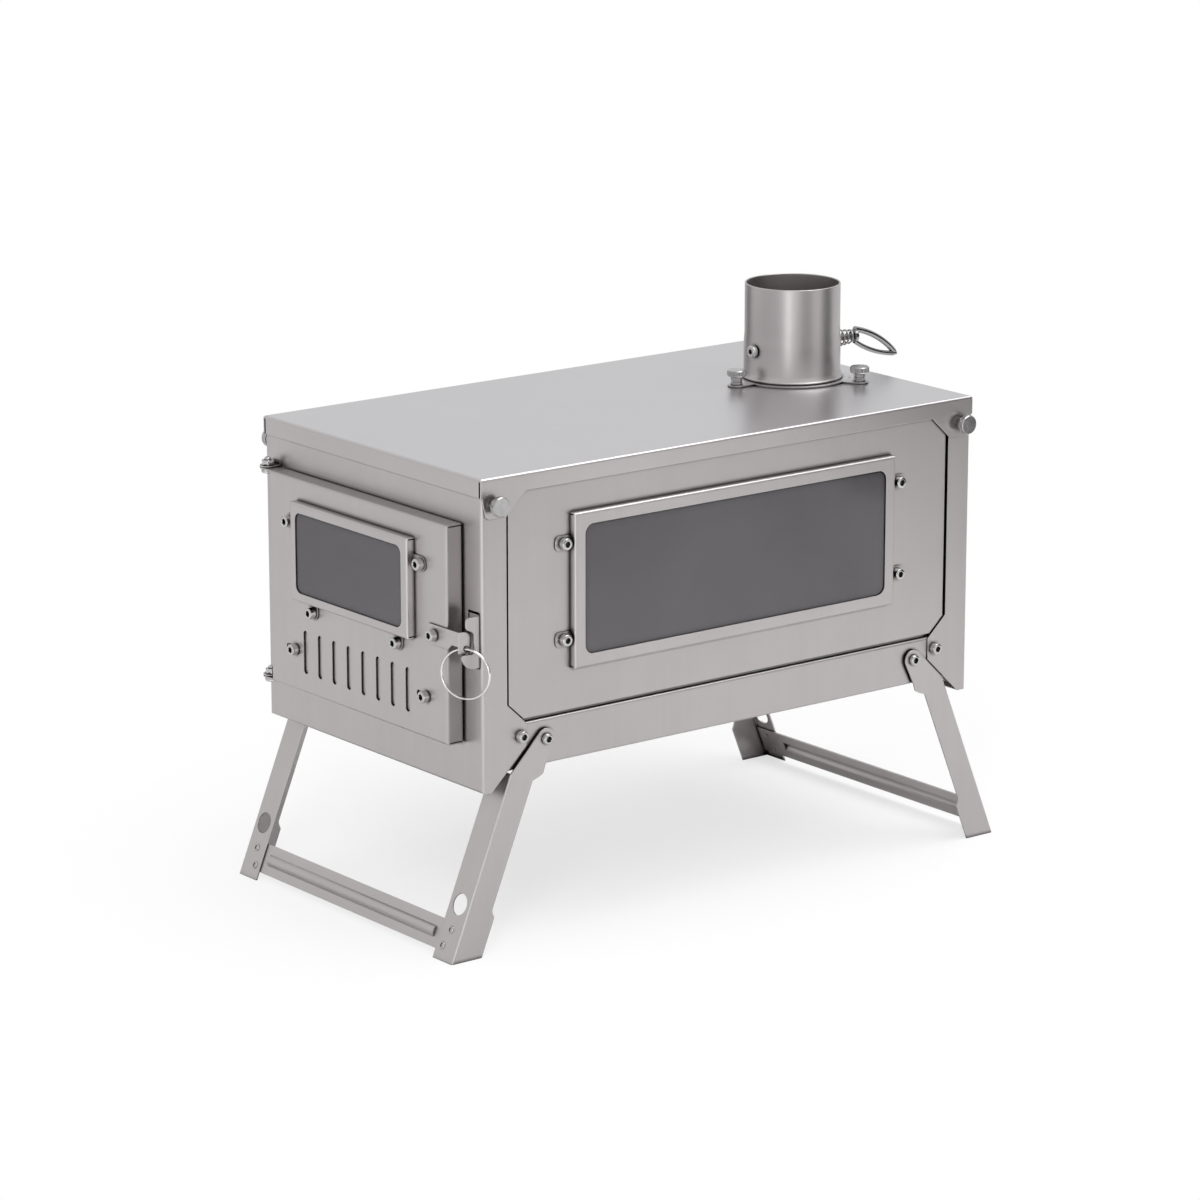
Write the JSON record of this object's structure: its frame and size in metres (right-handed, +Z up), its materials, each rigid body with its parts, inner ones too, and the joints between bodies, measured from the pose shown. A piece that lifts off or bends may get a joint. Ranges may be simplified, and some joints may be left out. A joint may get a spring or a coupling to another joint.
{
  "type": "tent wood stove",
  "caption": "Folding sheet-metal wood stove for tents with a glazed door, side window, sliding air plate, flue collar with damper and folding leg frames.",
  "frame": {"origin": "on the ground, under the middle of the stove's outline with the damper handle and feet", "axes": "+X to the stove's right side with the side window, +Y to the flue end, +Z up; the door faces -Y"},
  "size_m": [0.2376, 0.4374, 0.3475],
  "materials": {
    "titanium": "fine brushed titanium sheet, warm grey, satin",
    "titanium_top": "fine brushed titanium sheet, softly reflective",
    "titanium_dark": "dull titanium in the fire's shade",
    "smoked_glass": "smoked heat-proof glass, polished",
    "gasket": "woven glass-fibre tape",
    "steel": "polished stainless steel",
    "thumb_steel": "polished stainless steel with a knurled rim",
    "bright_wire": "bright drawn stainless wire"
  },
  "bodies": {
    "firebox": {"front_cap": "titanium", "rear_cap": "titanium", "right_panel": "titanium", "left_panel": "titanium", "bottom_tray": "titanium", "top_plate": "titanium_top", "side_window_frame": "titanium", "side_glass": "smoked_glass", "side_glass_gasket": "gasket", "side_window_screws": "steel", "side_window_nuts": "steel", "lid_thumb_screws": "thumb_steel", "lid_nuts": "steel", "gusset_screws": "steel", "gusset_nuts": "steel", "leg_pivot_screws": "steel", "leg_pivot_washers": "steel", "leg_pivot_nuts": "steel", "hinge_brackets": "titanium_dark", "hinge_bolts": "steel", "hinge_nuts": "steel", "keeper_hook": "titanium", "flue_flange": "titanium", "flue_collar": "titanium", "flue_thumb_screws": "thumb_steel", "flue_nuts": "steel", "fire_grate": "titanium_dark"},
    "door": {"door_shell": "titanium", "door_window_frame": "titanium", "door_glass": "smoked_glass", "door_glass_gasket": "gasket", "door_window_screws": "steel", "door_window_nuts": "steel", "latch_screw": "steel", "latch_nut": "steel"},
    "air_slide": {"air_plate": "titanium_dark", "air_screws": "steel", "air_nuts": "steel"},
    "latch": {"latch_lever": "titanium"},
    "ring": {"pull_ring": "bright_wire"},
    "front_legs": {"front_leg_left": "titanium", "front_leg_right": "titanium", "front_leg_bar": "titanium", "front_leg_rivets": "steel"},
    "rear_legs": {"rear_leg_left": "titanium", "rear_leg_right": "titanium", "rear_leg_bar": "titanium", "rear_leg_rivets": "steel"},
    "damper": {"damper_disc": "titanium_dark", "damper_shaft": "bright_wire", "damper_disc_screws": "steel", "damper_end_screw": "steel", "damper_spring": "bright_wire", "damper_handle": "bright_wire"}
  },
  "joints": [
    {"name": "door_hinge", "type": "hinge", "parent": "firebox", "child": "door", "pos_m": [-0.0985, -0.20013, 0.1915], "axis": [0, 0, -1], "range_deg": [0, 150]},
    {"name": "air_plate_slide", "type": "slide", "parent": "door", "child": "air_slide", "axis": [-1, 0, 0], "range_m": [0, 0.0075]},
    {"name": "latch_lift", "type": "hinge", "parent": "door", "child": "latch", "pos_m": [0.0812, -0.20578, 0.1909], "axis": [0, -1, 0], "range_deg": [0, 12]},
    {"name": "ring_swing", "type": "hinge", "parent": "latch", "child": "ring", "pos_m": [0.1046, -0.20168, 0.1868], "axis": [-0.848, -0.5299, 0], "range_deg": [0, 60]},
    {"name": "front_legs_fold", "type": "hinge", "parent": "firebox", "child": "front_legs", "pos_m": [0, -0.14868, 0.1251], "axis": [1, 0, 0], "range_deg": [0, 111]},
    {"name": "rear_legs_fold", "type": "hinge", "parent": "firebox", "child": "rear_legs", "pos_m": [0, 0.13732, 0.1251], "axis": [-1, 0, 0], "range_deg": [0, 111]},
    {"name": "damper_turn", "type": "hinge", "parent": "firebox", "child": "damper", "pos_m": [0, 0.13062, 0.307], "axis": [0, 1, 0], "range_deg": [0, 90]}
  ]
}
